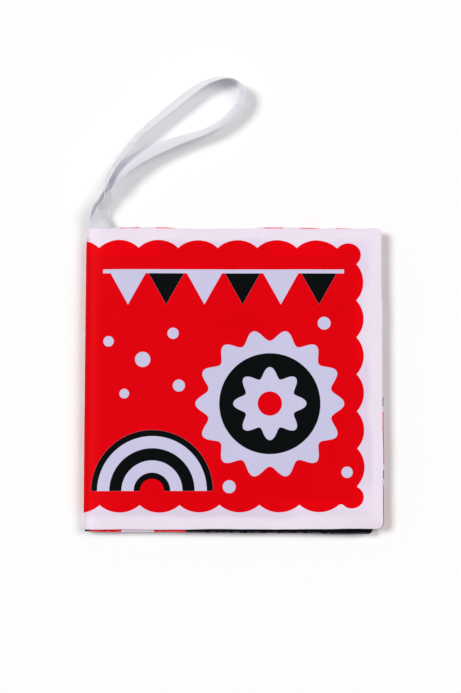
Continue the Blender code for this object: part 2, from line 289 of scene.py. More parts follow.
# shader maths: a Value is one output of a node, and arithmetic on it adds Math nodes
class Value:
    def __init__(self, graph, socket):
        self.graph = graph
        self.socket = socket

    def calc(self, operation, *others, clamp=False):
        settings = {"operation": operation, "use_clamp": clamp}
        return self.graph.node("ShaderNodeMath", settings, [self, *others])

    def __rsub__(self, other):
        return self.graph.node("ShaderNodeMath", {"operation": "SUBTRACT"}, [other, self])

    __add__ = __radd__ = partialmethod(calc, "ADD")
    __mul__ = __rmul__ = partialmethod(calc, "MULTIPLY")
    __sub__ = partialmethod(calc, "SUBTRACT")
    __truediv__ = partialmethod(calc, "DIVIDE")
    __gt__ = partialmethod(calc, "GREATER_THAN")
    __lt__ = partialmethod(calc, "LESS_THAN")
    root = partialmethod(calc, "SQRT")
    sine = partialmethod(calc, "SINE")
    cosine = partialmethod(calc, "COSINE")
    size = partialmethod(calc, "ABSOLUTE")
    part = partialmethod(calc, "FRACT")
    whole = partialmethod(calc, "FLOOR")
    most = partialmethod(calc, "MAXIMUM")
    least = partialmethod(calc, "MINIMUM")

    def other(self, name):
        return Value(self.graph, self.socket.node.outputs[name])


class Graph:
    def __init__(self, name, finish):
        self.material = bpy.data.materials.new(name)
        self.material.use_nodes = True
        self.tree = self.material.node_tree
        self.shader = self.tree.nodes["Principled BSDF"]
        for socket, value in finish.items():
            self.shader.inputs[socket].default_value = value

    def node(self, kind, settings=None, inputs=None, output=0):
        made = self.tree.nodes.new(kind)
        for key, value in (settings or {}).items():
            setattr(made, key, value)
        pairs = inputs.items() if isinstance(inputs, dict) else enumerate(inputs or [])
        for key, value in pairs:
            if isinstance(value, Value):
                self.tree.links.new(value.socket, made.inputs[key])
            else:
                made.inputs[key].default_value = value
        return Value(self, made.outputs[output])

    def mix(self, mask, below, above):
        return self.node("ShaderNodeMix", {"data_type": "RGBA"}, {0: mask, 6: below, 7: above}, output=2)

    def feed(self, name, value):
        self.tree.links.new(value.socket, self.shader.inputs[name])

    def cut(self):
        # place on the flat cloth in millimetres
        place = self.node("ShaderNodeAttribute", {"attribute_name": "cut"}, output="Vector")
        x = self.node("ShaderNodeSeparateXYZ", None, [place])
        return x * 1000, x.other("Y") * 1000, x.other("Z") * 1000

    def noise(self, x, y, scale, detail=2.0, seed=0.0):
        place = self.node("ShaderNodeCombineXYZ", None, [x, y, seed])
        return self.node("ShaderNodeTexNoise", None, {"Vector": place, "Scale": scale, "Detail": detail})

    def bump(self, height, distance):
        self.feed("Normal", self.node("ShaderNodeBump", None, {"Distance": distance, "Height": height}))

    def shaded(self, paint, shade):
        return self.node("ShaderNodeVectorMath", {"operation": "SCALE"}, {0: paint, "Scale": shade})


inks = {
    "red": (0.85, 0.0, 0.004, 1),
    "white": (0.86, 0.76, 0.88, 1),
    "lilac": (0.68, 0.68, 0.86, 1),
    "black": (0.002, 0.003, 0.003, 1),
    "ribbon": (0.88, 0.87, 0.96, 1),
    "thread": (0.82, 0.78, 0.86, 1),
    "film": (0.80, 0.84, 0.90, 1),
    "crease": (0.95, 0.96, 0.98, 1),
    "wadding": (0.88, 0.87, 0.84, 1),
    "waddingShade": (0.70, 0.69, 0.66, 1),
    "worn": (0.62, 0.58, 0.62, 1),
}
printEdge = 0.12      # softness of a printed edge, in millimetres


def inside(distance):
    # 1 where a signed distance in millimetres is negative, with a soft printed edge
    return distance.calc("MULTIPLY_ADD", -1 / printEdge, 0.5, clamp=True)


def reachFrom(x, y, cx, cy):
    dx, dy = x - cx, y - cy
    return (dx * dx + dy * dy).root()


def disc(x, y, cx, cy, rx, ry=None):
    ry = ry or rx
    dx, dy = (x - cx) / rx, (y - cy) / ry
    return inside(((dx * dx + dy * dy).root() - 1) * min(rx, ry))


def bulge(place, pitch, rise):
    # an arc over each stretch of this pitch: its height above the line through its ends
    half = pitch / 2
    radius = (half * half + rise * rise) / (2 * rise)
    off = ((place / pitch).part() - 0.5) * pitch
    return (radius * radius - off * off).root() - (radius - rise)


scallops = {
    "top": {"line": 10.1, "pitch": 19.73, "rise": 4.07, "from": 22.7},
    "bottom": {"line": 12.1, "pitch": 19.63, "rise": 3.7, "from": 21.9},
    "side": {"line": 12.95, "pitch": 18.43, "rise": 3.6, "from": 21.3, "to": 131.87},
    "topLobe": (16.9, 13.7, 6.4, 6.0),
    "bottomLobe": (15.7, 15.7, 5.9, 5.6),
    "height": 150.0,
}


def scallopRise(edge, along):
    # how far an edge's scallops stand out from its line
    rise = bulge(along - edge["from"], edge["pitch"], edge["rise"]) * (along > edge["from"])
    return rise * (along < edge["to"]) if "to" in edge else rise


def scallopedField(fromFore, fromTail):
    # 1 inside the scalloped line that runs round three sides of a cover
    s = scallops
    fromHead = s["height"] - fromTail
    field = inside(s["top"]["line"] - scallopRise(s["top"], fromFore) - fromHead)
    field = field.least(inside(s["bottom"]["line"] - scallopRise(s["bottom"], fromFore) - fromTail))
    field = field.least(inside(s["side"]["line"] - scallopRise(s["side"], fromTail) - fromFore))
    field = field.most(disc(fromFore, fromHead, *s["topLobe"]))
    return field.most(disc(fromFore, fromTail, *s["bottomLobe"]))


def flower(x, y, cx, cy, radius, depth, petals):
    angle = (y - cy).calc("ARCTAN2", x - cx)
    edge = radius + (angle * petals).cosine() * depth
    return inside(reachFrom(x, y, cx, cy) - edge)


flagWidth = 0.92      # share of the pitch


def bunting(x, y, left, top, pitch, depth, count):
    # a row of hanging triangles a little apart, and a mask that picks every second one
    at = (x - left) / pitch
    off = (at.part() - 0.5).size() * pitch
    row = inside(off + (top - y) * (pitch / 2 / depth) - pitch / 2 * flagWidth)
    row = row.least(inside(y - top)).least((x > left) * (x < left + pitch * count))
    return row, (at.whole() / 2).part() > 0.25


def dots(x, y, pitch, radius):
    # rows of dots, every second row moved by half a pitch
    row = ((y / pitch).whole() / 2).part() * pitch
    dx = (((x + row) / pitch).part() - 0.5) * pitch
    dy = ((y / pitch).part() - 0.5) * pitch
    return inside((dx * dx + dy * dy).root() - radius)


def bands(distance, pitch):
    # stripes along a distance, each half as wide as the pitch
    off = ((distance / pitch).part() - 0.5).size() * pitch
    return inside(off - pitch / 4)


def painted(g, x, y, paint, layers):
    # shapes laid over one another: a function, its numbers and its ink
    for shape, numbers, ink in layers:
        paint = g.mix(shape(x, y, *numbers), paint, inks[ink])
    return paint


# the prints, in millimetres on the flat cloth: a from the fore edge, b from the tail, x from the spine
frontArt = {
    "width": 150,
    "arch": {"centre": (36, 19), "radius": 30, "pitch": 12, "dot": 6},
    "wheel": [(flower, (94, 62, 34, 2.8, 14), "lilac"), (disc, (94, 62, 25), "black"),
              (flower, (94, 62, 15.5, 2.6, 8), "lilac"), (disc, (94, 62, 6), "red")],
    "flags": {"left": 14, "top": 127, "pitch": 19, "depth": 17, "count": 6},
    "cord": {"height": 128, "half": 1, "from": 11, "to": 131},
    "spots": [(14, 93, 2.6), (31, 84, 3.8), (22, 67, 2.4), (46, 97, 2.8), (49, 71, 3.0), (121, 102, 3.2),
              (132, 28, 2.8), (74, 21, 3.2)],
}


def frontPrint(g, a, b):
    x = frontArt["width"] - a
    arch, cord = frontArt["arch"], frontArt["cord"]
    reach = reachFrom(x, b, *arch["centre"])
    hill = inside(reach - arch["radius"]).least(inside(arch["centre"][1] - b))
    paint = g.mix(hill, inks["red"], inks["lilac"])
    paint = g.mix(hill.least(bands(reach, arch["pitch"])), paint, inks["black"])
    paint = g.mix(disc(x, b, *arch["centre"], arch["dot"]), paint, inks["red"])
    paint = painted(g, x, b, paint, frontArt["wheel"])
    row, second = bunting(x, b, **frontArt["flags"])
    paint = g.mix(row, paint, inks["lilac"])
    paint = g.mix(row * second, paint, inks["black"])
    line = inside((b - cord["height"]).size() - cord["half"]).least((x > cord["from"]) * (x < cord["to"]))
    paint = g.mix(line, paint, inks["lilac"])
    paint = painted(g, x, b, paint, [(disc, spot, "lilac") for spot in frontArt["spots"]])
    return g.mix(scallopedField(a, b), inks["white"], paint)


backArt = {
    "width": 150,
    "dots": {"pitch": 16, "radius": 2.4, "shift": 8},
    "flower": [(disc, (72, 76, 30), "red"), (flower, (72, 76, 21, 3.0, 10), "white"),
               (disc, (72, 76, 13), "black"), (disc, (72, 76, 6), "white")],
}


def backPrint(g, a, b):
    x, spots = backArt["width"] - a, backArt["dots"]
    paint = g.mix(dots(x, b - spots["shift"], spots["pitch"], spots["radius"]), inks["red"], inks["white"])
    return g.mix(scallopedField(a, b), inks["white"], painted(g, x, b, paint, backArt["flower"]))


redPageArt = [(dots, (18, 5.0), "white"), (dots, (18, 2.2), "black")]


def redPagePrint(g, a, b):
    return painted(g, a, b, inks["red"], redPageArt)


sunriseArt = {
    "width": 145,
    "sun": (29, 0),
    "discs": [(23.5, "red"), (8, "white")],
    "rays": {"from": 28.5, "to": 52, "count": 18},
    "sky": [(flower, (100, 102, 24, 5.0, 5), "white"), (disc, (100, 102, 12), "red"),
            (disc, (118, 40, 9), "white")],
}


def sunrisePrint(g, a, b):
    x, paint = sunriseArt["width"] - a, inks["black"]
    sun, rays = sunriseArt["sun"], sunriseArt["rays"]
    reach = reachFrom(x, b, *sun)
    for radius, ink in sunriseArt["discs"]:
        paint = g.mix(inside(reach - radius), paint, inks[ink])
    ray = bands(b.calc("ARCTAN2", x - sun[0]) * 10, 10 * 2 * math.pi / rays["count"])
    ray = ray.least(inside(reach - rays["to"])).least(inside(rays["from"] - reach))
    return painted(g, x, b, g.mix(ray, paint, inks["white"]), sunriseArt["sky"])


waveArt = {
    "length": 36,
    "depth": 5,
    "pitch": 25,
    "discs": [(disc, (72, 75, 27), "white"), (disc, (72, 75, 20), "red")],
}


def wavePrint(g, a, b):
    wave = b + (a * (2 * math.pi / waveArt["length"])).sine() * waveArt["depth"]
    paint = g.mix(bands(wave, waveArt["pitch"]), inks["white"], inks["black"])
    return painted(g, a, b, paint, waveArt["discs"])


targetArt = {"centre": (70, 75), "reach": 53, "pitch": 14, "shift": 3.5, "middle": 10}


def targetPrint(g, a, b):
    t = targetArt
    reach = reachFrom(a, b, *t["centre"])
    rings = inside(reach - t["reach"]).least(bands(reach + t["shift"], t["pitch"]))
    return g.mix(inside(reach - t["middle"]), g.mix(rings, inks["black"], inks["white"]), inks["red"])


checkArt = {"size": 18, "middle": [(disc, (72, 72, 30), "white"), (flower, (72, 72, 20, 4, 6), "red")]}


def checkPrint(g, a, b):
    odd = ((a / checkArt["size"]).whole() + (b / checkArt["size"]).whole()) / 2
    return painted(g, a, b, g.mix(odd.part() > 0.25, inks["white"], inks["black"]), checkArt["middle"])


trianglesArt = {"tops": (40, 70, 100, 130), "row": {"left": 14, "pitch": 20, "depth": 20, "count": 6}}


def trianglePrint(g, a, b):
    paint = inks["white"]
    for top in trianglesArt["tops"]:
        row, second = bunting(a, b, top=top, **trianglesArt["row"])
        paint = g.mix(row, paint, inks["black"])
        paint = g.mix(row * second, paint, inks["red"])
    return paint


fabricFinish = {
    "yarn": 0.34,             # millimetres between yarns
    "weaveDepth": 0.009 * mm,
    "grain": 0.9,             # scale of the fine unevenness
    "cloud": 0.035,           # scale of the slow unevenness
    "misprint": 0.12,         # how far the grain moves the print
    "mottle": 0.10,
    "edgeWear": 0.22,
    "wearWidth": 0.9,
    "satin": 0.04,            # share of the light sent back as a sheen in the ink's own colour
    "marginWidth": 6.4,       # the doubled cloth along a sewn edge looks whiter than the single cloth
    "marginWander": 7,
    "marginBlur": 2.6,
    "showThrough": (0.88, 0.85, 0.91, 1),
}


def fabric(name, makePrint, roughness=0.52):
    f = fabricFinish
    g = Graph(name, {"Specular IOR Level": 0.02, "Metallic": f["satin"]})
    a, b, d = g.cut()
    grain = g.noise(a, b, f["grain"], 3.0, 2.0)
    otherGrain = g.noise(a, b, f["grain"], 2.0, 7.0)
    paint = makePrint(g, a + (grain - 0.5) * f["misprint"], b + (otherGrain - 0.5) * f["misprint"])
    weave = (a * (2 * math.pi / f["yarn"])).sine() * (b * (2 * math.pi / f["yarn"])).sine()
    cloud = g.noise(a, b, f["cloud"], 3.0, 4.0)
    # the weave term is painted shade: the cloth is lighter on the tops of the yarns and darker between
    # them; the mottle and grain terms are random tone
    shade = 1 - f["mottle"] / 2 + (cloud - 0.5) * f["mottle"] + (grain - 0.5) * 0.05 + weave * 0.02
    # the tint of single cloth comes and goes near the margin, and is whole further in
    uneven = (g.noise(a, b, f["cloud"], 3.0, 11.0) - 0.5) * f["marginWander"]
    patchy = ((g.noise(a, b, 0.02, 1.0, 16.0) - 0.42) * 6).most((d - 12) / 3).most(0.25).least(1)
    single = ((d + uneven - f["marginWidth"]) / f["marginBlur"] + 0.5).most(0).least(1)
    tint = g.mix(single * patchy, (1, 1, 1, 1), f["showThrough"])
    paint = g.node("ShaderNodeVectorMath", {"operation": "MULTIPLY"}, [g.shaded(paint, shade), tint])
    fibres = g.noise(a, b, 0.6, 4.0, 9.0) > 0.46
    worn = (1 - d / f["wearWidth"]).most(0).least(1) * fibres * f["edgeWear"]
    g.feed("Base Color", g.mix(worn, paint, inks["worn"]))
    g.feed("Roughness", roughness + (cloud - 0.5) * 0.16 + weave * 0.03)
    slub = g.noise(a * 0.25, b * 5, 1.2, 2.0, 3.0) + g.noise(a * 5, b * 0.25, 1.2, 2.0, 5.0)
    g.bump(weave + slub * 0.7, f["weaveDepth"])
    return g.material


tapeFinish = {"rib": 0.45, "yarn": 0.25, "selvageFrom": 4.4, "depth": 0.03 * mm}


def makeTape():
    # plain woven ribbon: fine ribs across, a firmer selvage along both edges, light through both faces
    t = tapeFinish
    g = Graph("white_ribbon_tape", {"Sheen Weight": 0.3, "Sheen Roughness": 0.4, "Subsurface Weight": 0.6,
                                    "Subsurface Radius": (1, 1, 1), "Subsurface Scale": 1.2 * mm})
    run, across, _ = g.cut()
    rib = (run * (2 * math.pi / t["rib"])).sine()
    yarn = (across * (2 * math.pi / t["yarn"])).sine()
    selvage = inside(t["selvageFrom"] - across.size())
    cloud = g.noise(run, across, 0.12, 3.0, 1.0)
    # the rib term is painted shade: lighter on the crests of the ribs and darker between them
    shade = 0.97 + (cloud - 0.5) * 0.08 + rib * 0.012 - selvage * 0.02
    g.feed("Base Color", g.shaded(inks["ribbon"][:3], shade))
    g.feed("Roughness", 0.5 + (cloud - 0.5) * 0.2 + selvage * 0.08)
    g.bump(rib + yarn * 0.5 + selvage * 1.5, t["depth"])
    return g.material


threadFinish = {"twist": 0.6 * mm, "lean": 0.7, "fuzz": 2500.0, "depth": 0.04 * mm}


def makeThread():
    # the ply twist runs round the thread on a slant, in object space
    t = threadFinish
    g = Graph("white_sewing_thread", {"Sheen Weight": 0.3})
    place = g.node("ShaderNodeTexCoord", output="Object")
    x = g.node("ShaderNodeSeparateXYZ", None, [place])
    ply = ((x + x.other("Y") + x.other("Z") * t["lean"]) * (2 * math.pi / t["twist"])).sine()
    fuzz = g.node("ShaderNodeTexNoise", None, {"Vector": place, "Scale": t["fuzz"], "Detail": 2.0})
    # painted shade: the colour follows the ply and the fuzz of the bump, lighter on their crests and darker
    # in the grooves between the plies
    g.feed("Base Color", g.shaded(inks["thread"][:3], 0.92 + ply * 0.07 + (fuzz - 0.5) * 0.1))
    g.feed("Roughness", 0.6 + (fuzz - 0.5) * 0.2)
    g.bump(ply + fuzz, t["depth"])
    return g.material


filmFinish = {"net": 0.35, "lineWidth": 9, "clear": 0.62, "depth": 0.08 * mm}


def makeFilm():
    # thin cloudy film with a fine net of creases
    f = filmFinish
    g = Graph("crackling_film", {"Specular IOR Level": 0.6})
    a, b, _ = g.cut()
    net = {"Vector": g.node("ShaderNodeCombineXYZ", None, [a, b, 0.0]), "Scale": f["net"]}
    crease = g.node("ShaderNodeTexVoronoi", {"feature": "DISTANCE_TO_EDGE"}, net)
    line = (1 - crease * f["lineWidth"]).most(0)
    cloud = g.noise(a, b, 0.2, 3.0)
    g.feed("Base Color", g.mix(line * 0.5, inks["film"], inks["crease"]))
    g.feed("Roughness", 0.18 + line * 0.25 + (cloud - 0.5) * 0.1)
    g.feed("Alpha", f["clear"] + line * 0.2 + (cloud - 0.5) * 0.1)
    g.bump(line + crease * 0.6, f["depth"])
    return g.material


def makeWadding():
    # fibres lie every way: noise stretched in three directions
    g = Graph("fibre_wadding", {"Sheen Weight": 0.5, "Roughness": 0.95})
    a, b, _ = g.cut()
    fibres = g.noise(a * 0.2, b * 2, 1.5, 4.0, 1.0) + g.noise(a * 2, b * 0.2, 1.5, 4.0, 5.0)
    fibres = fibres + g.noise(a + b, (a - b) * 0.2, 1.5, 4.0, 9.0)
    tone = (fibres - 1.2) * 0.8
    g.feed("Base Color", g.mix(tone.most(0).least(1), inks["waddingShade"], inks["wadding"]))
    g.bump(fibres, 0.25 * mm)
    return g.material


# slot and material of every cloth
clothLooks = {
    "front_cover_outer": ("red_print_cloth", fabric("red_front_print", frontPrint, 0.43)),
    "front_cover_inner": ("red_page_cloth", fabric("red_dotted_page", redPagePrint)),
    "second_leaf_outer": ("black_page_cloth", fabric("black_sunrise_page", sunrisePrint)),
    "second_leaf_inner": ("white_page_cloth", fabric("white_wave_page", wavePrint)),
    "third_leaf_inner": ("black_page_cloth", fabric("black_ring_page", targetPrint)),
    "third_leaf_outer": ("white_page_cloth", fabric("white_check_page", checkPrint)),
    "back_cover_inner": ("white_page_cloth", fabric("white_bunting_page", trianglePrint)),
    "back_cover_outer": ("red_print_cloth", fabric("red_back_print", backPrint, 0.43)),
}
tapeMaterial, threadMaterial = makeTape(), makeThread()
filmMaterial, waddingMaterial = makeFilm(), makeWadding()
print("materials ready")

# the free ribbon, first of the pieces
ribbon, ribbonLine = makeRibbon(ribbonSetup, tapeMaterial)
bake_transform(ribbon)
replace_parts(ribbon, "ribbon_loop")


def makeRibbonEnd(name, upper, material):
    # a sewn end of the ribbon, between the front cover's turned-in margins
    setup = ribbonSetup
    half, strips = setup["thickness"] / 2, setup["strips"]
    ys = np.linspace(coverHead - setup["sewnLength"], coverHead + setup["exitGap"], 8)
    places, cut = [], []
    for y in ys:
        for side in (half, -half):
            for strip in range(strips + 1):
                at = strip / strips - 1 / 2
                place = tapePlace(at * setup["width"], side + setup["plyOffset"] * (1 if upper else -1))
                places.append(Vector((place.x, y, place.z)))
                cut.append((y, at * setup["width"], 0))
    end = newPiece(name, places, stripFaces(len(ys), strips + 1), material)
    storeCut(end, cut)
    facingOut(end)
    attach(end, "front_cover")
    return end


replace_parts(makeRibbonEnd("ribbon_upper_end_tape", True, tapeMaterial), "ribbon_upper_end")
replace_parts(makeRibbonEnd("ribbon_lower_end_tape", False, tapeMaterial), "ribbon_lower_end")
print("ribbon ready")

# the leaves: distances in millimetres from a sewn edge
leafSetup = {
    "lip": 0.3,               # radius of the turned edge
    "lipSteps": 6,
    "seam": 0.14,             # half the gap between the two cloths where they are sewn
    "margin": [1.0, 2.4, 4.2, 6.0],
    "lines": [0.3, 0.8, 1.5, 2.4, 3.5, 4.7, 5.6, 6.4, 7.2, 8.2, 9.6, 11.5, 14.0],
    "rise": {0: -0.34, 1.2: -0.26, 5.6: -0.34, 6.6: -0.34, 9.0: -0.02, 12: 0.04, 40: 0.08},
    "riseCells": 20,          # to a millimetre
    "riseBlur": 15,           # cells to each side
    "cell": 2.0,
    "cloth": 0.2,
    "half": 0.9,              # half a leaf's thickness
    "hiddenSwell": (-0.4, 0.10),  # how far a page may lie under its leaf's face or stand proud of it
    "frontSwell": 0.34,       # how far the stuffing lifts the front cover's printed face
    "frontSwellDepth": 12,
    "frontDip": -0.5,
    "foldGap": 0.28,          # how far the folded sheet's inner face stays off the middle at the fold
    "foldGapFall": 0.13,      # how much of that goes from here to twice as far
    "foldGapFrom": 5,
    "edgeWander": 0.16,
    "wanderDepth": 9.0,
    "wanderLengths": (61, 37, 23, 14, 9),
}
leafShapes = {
    "front_cover": {"tailRound": 3.6, "headRound": 1.8, "skew": 0.3, "drop": 0.0, "peek": 0.62, "seed": 3},
    "second_leaf": {"tailRound": 3.0, "headRound": 3.2, "skew": -0.6, "drop": 0.5, "peek": 0.0, "seed": 5},
    "third_leaf": {"tailRound": 3.4, "headRound": 2.8, "skew": -0.5, "drop": 0.1, "peek": 0.0, "seed": 8},
    "back_cover": {"tailRound": 2.6, "headRound": 3.0, "skew": -0.35, "drop": 0.0, "peek": 0.0, "seed": 13},
}


def roundCorner(dx, dy, radius):
    # moves the distances from two edges so that the corner between them is round
    near, far = np.minimum(dx, dy), np.maximum(dx, dy)
    bend = np.maximum(radius - near, 0.4)
    turn = np.radians(45) * np.clip(1 - (far - near) / bend, 0, 1)
    newNear = near + bend * (1 - np.cos(turn))
    newFar = np.where(turn > 0, near + bend * (1 - np.sin(turn)), far)
    return np.where(dx <= dy, newNear, newFar), np.where(dx <= dy, newFar, newNear)


def wander(along, seed, size):
    # a slow uneven line, the same on every run
    pick = np.random.default_rng(seed)
    total = np.zeros_like(along)
    lengths = leafSetup["wanderLengths"]
    for length in lengths:
        phase, depth = pick.uniform(0, 6.28), pick.uniform(0.4, 1)
        total = total + np.sin(along * 2 * math.pi / length + phase) * depth * length / lengths[0]
    return total * size


class Leaf:
    # one leaf in millimetres from the middle of the stitch line, outer face up whichever way it lies
    def __init__(self, name):
        self.name = name
        self.shape = leafShapes[name]
        low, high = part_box(f"{name}_outer_cloth")
        innerLow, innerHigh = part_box(f"{name}_inner_cloth")
        self.up = 1 if high[2] > midZ else -1
        outer, inner = (high, innerLow) if self.up > 0 else (low, innerHigh)
        faces = [(corner[2] - midZ) * self.up for corner in (outer, inner)]
        self.width = (high[0] - hingeX) / mm
        self.tail = low[1] / mm
        self.height = high[1] / mm - self.tail
        self.setColumns("cover" if "cover" in name else "sheet", faces)
        self.setRows()

    def setColumns(self, kind, faces):
        s, flat = leafSetup, spineRoll["flatFrom"] / mm
        q = np.linspace(0, 1, spineRoll["columns"] + 1) ** 2
        count = int((self.width - flat - s["lines"][-1]) / s["cell"])
        run = self.width - np.linspace(self.width - flat, s["lines"][-1], count + 1)[1:]
        run = np.concatenate([run, self.width - np.array(s["lines"][-2::-1])])
        self.section = []
        for layer, face in zip(("Outer", "Inner"), faces):
            start = spineRoll[kind + layer]["inset"] / mm
            x = np.concatenate([start + (flat - start) * q, run])
            z = rollHeight(kind + layer, x * mm, face) / mm
            if layer == "Inner" and kind == "sheet":
                fall = np.clip((x - s["foldGapFrom"]) / s["foldGapFrom"], 0, 1)
                z = np.where(x > start, np.maximum(z, s["foldGap"] - s["foldGapFall"] * fall), z)
            self.section.append(np.stack([x, z], axis=1))
        outer, inner = self.section
        self.middle = (outer + inner) / 2
        across = (outer - inner) / 2
        self.half = np.linalg.norm(across, axis=1)
        self.across = across / self.half[:, None]
        self.rolled = len(q)
        self.fromFore = self.width - self.middle[:, 0]

    def setRows(self):
        s = leafSetup
        count = int((self.height - 2 * s["lines"][-1]) / s["cell"])
        inner = np.linspace(s["lines"][-1], self.height - s["lines"][-1], count + 1)
        near = np.array(s["lines"][:-1])
        self.rows = np.concatenate([near, inner, self.height - near[::-1]])
        # the same as fields over the leaf: column, distances from the fore edge and the tail, from any edge
        self.column = np.indices((len(self.middle), len(self.rows)))[0]
        self.dx, self.fromTail = np.meshgrid(self.fromFore, self.rows, indexing="ij")
        self.edge = np.minimum(np.minimum(self.dx, self.fromTail), self.height - self.fromTail)

    def outline(self, dx, fromTail):
        # rounds the two corners, and gives the distance from the nearest sewn edge
        tailSide = fromTail < self.height / 2
        dy = np.where(tailSide, fromTail, self.height - fromTail)
        radius = np.where(tailSide, self.shape["tailRound"], self.shape["headRound"])
        newX, newY = roundCorner(dx, dy, radius)
        return newX, np.where(tailSide, newY, self.height - newY), np.minimum(newX, newY)

    def pull(self, along, side, distance):
        # how far a sewn edge is drawn in, this far along it and this far from it
        size = leafSetup["edgeWander"]
        uneven = wander(along, self.shape["seed"] + side, size) + size
        return uneven * np.exp(-distance / leafSetup["wanderDepth"])

    def lay(self, column, dx, fromTail, height):
        # a place, from its column of the section, its distances from the fore edge and the tail, and its
        # height off the middle
        newX, newTail, _ = self.outline(dx, fromTail)
        fromHead = self.height - newTail
        pullX, pullTail = self.pull(newTail, 0, newX), self.pull(newX, 1, newTail)
        pullHead = self.pull(newX, 2, fromHead)
        x = self.middle[column, 0] + self.across[column, 0] * height + self.fromFore[column] - newX - pullX
        z = self.middle[column, 1] + self.across[column, 1] * height
        lean = self.shape["skew"] * (1 - 2 * x / self.width) + self.shape["drop"]
        y = self.tail + newTail + pullTail - pullHead - lean * fromHead / self.height
        place = np.stack([hingeX / mm + x, y, midZ / mm + self.up * z], axis=-1)
        return place * mm, newX, newTail

    def edgeRise(self, distance):
        # the heights of "rise", joined smoothly
        s = leafSetup
        knots, heights = np.array(list(s["rise"].items())).T
        fine = np.linspace(0, knots[-1], int(knots[-1] * s["riseCells"]) + 1)
        kernel = np.hanning(2 * s["riseBlur"] + 1)
        padded = np.pad(np.interp(fine, knots, heights), s["riseBlur"], mode="edge")
        return np.interp(distance, fine, np.convolve(padded, kernel / kernel.sum(), mode="valid"))

    def chain(self):
        # the sewn edges from the spine's tail round to its head: column, row
        lastColumn, lastRow = len(self.middle) - 1, len(self.rows) - 1
        tail = [(i, 0) for i in range(lastColumn)]
        fore = [(lastColumn, j) for j in range(lastRow)]
        head = [(i, lastRow) for i in range(lastColumn, -1, -1)]
        return np.array(tail + fore + head)

    def ring(self, inset, height):
        # places along the sewn edges, this far in from them and at these heights off the middle
        c, r = self.chain().T
        more = inset - leafSetup["lines"][0]
        dx = self.fromFore[c] + more * (self.width - self.fromFore[c]) / self.width
        half = self.height / 2
        near = np.minimum(self.rows[r], self.height - self.rows[r])
        fromTail = np.where(self.rows[r] < half, near + more * (1 - near / half),
                            self.height - near - more * (1 - near / half))
        return self.lay(c, dx, fromTail, height)


openingSetup = {
    "shift": 0.2,             # towards the spine, from the ribbon's middle
    "half": 6.4,
    "blur": 1.2,
    "depth": 9,
    "depthBlur": 3,
    "rise": 0.05,
    "seam": 0.37,             # half the gap between the cloths there
}


def ribbonOpening(x, fromHead):
    # 1 where the ribbon passes out through the front cover's head seam
    o = openingSetup
    off = np.abs(x - (ribbonSetup["baseX"] - hingeX) / mm + o["shift"])
    across = np.clip((o["half"] - off) / o["blur"], 0, 1)
    return across * np.clip((o["depth"] - fromHead) / o["depthBlur"], 0, 1)


# puckers: two sheets sewn together on three sides are blown up a little, ten times as big as they are
puckerSetup = {
    "scale": 10.0,
    "cell": 2.5,
    "roundEdge": 6,
    "unevenStart": 0.12,
    "frames": 20,
    "pressure": 2.0,
    "grow": 0.035,
    "quality": 5,
    "mass": 0.3,
    "stretch": 15,
    "shear": 5,
    "bend": 0.15,
    "blur": 16.0,
    "size": 0.17,
    "limit": 0.45,
    "rim": 4,                 # cells at the rim that don't count for the size
    "frontGain": 2.0,
    "calmEdge": 2.0,
    "calmStart": 0.3,
    "calmShare": 0.35,        # what is left of the puckers at a seam
    "calmSpine": 14.0,
    "calmSpineStart": 4,
}


def bagMesh(leaf, setup):
    big, cell = setup["scale"] * mm, setup["cell"]
    columns, rows = int(leaf.width / cell) + 1, int(leaf.height / cell) + 1
    lineX, lineY = np.linspace(0, leaf.width, columns), np.linspace(0, leaf.height, rows)
    x, y = np.meshgrid(lineX, lineY, indexing="ij")
    edge = np.minimum(np.minimum(leaf.width - x, y), leaf.height - y)
    rise = leafSetup["half"] * np.clip(edge / setup["roundEdge"], 0, 1) ** 0.5
    pick = np.random.default_rng(leaf.shape["seed"])
    places, faces, index = [], [], {}
    for side in (1, -1):
        index[side] = np.zeros((columns, rows), int)
        start = pick.normal(0, setup["unevenStart"], x.shape)
        for i, j in np.ndindex(columns, rows):
            sewn = i == columns - 1 or j in (0, rows - 1)
            if side < 0 and sewn:
                index[side][i, j] = index[1][i, j]
                continue
            index[side][i, j] = len(places)
            z = 0 if sewn else side * rise[i, j] + start[i, j]
            places.append((x[i, j] * big, y[i, j] * big, z * big))
        k = index[side]
        for i, j in np.ndindex(columns - 1, rows - 1):
            face = [int(n) for n in (k[i, j], k[i + 1, j], k[i + 1, j + 1], k[i, j + 1])]
            faces.append(face if side > 0 else face[::-1])
    return places, faces, index, lineX, lineY


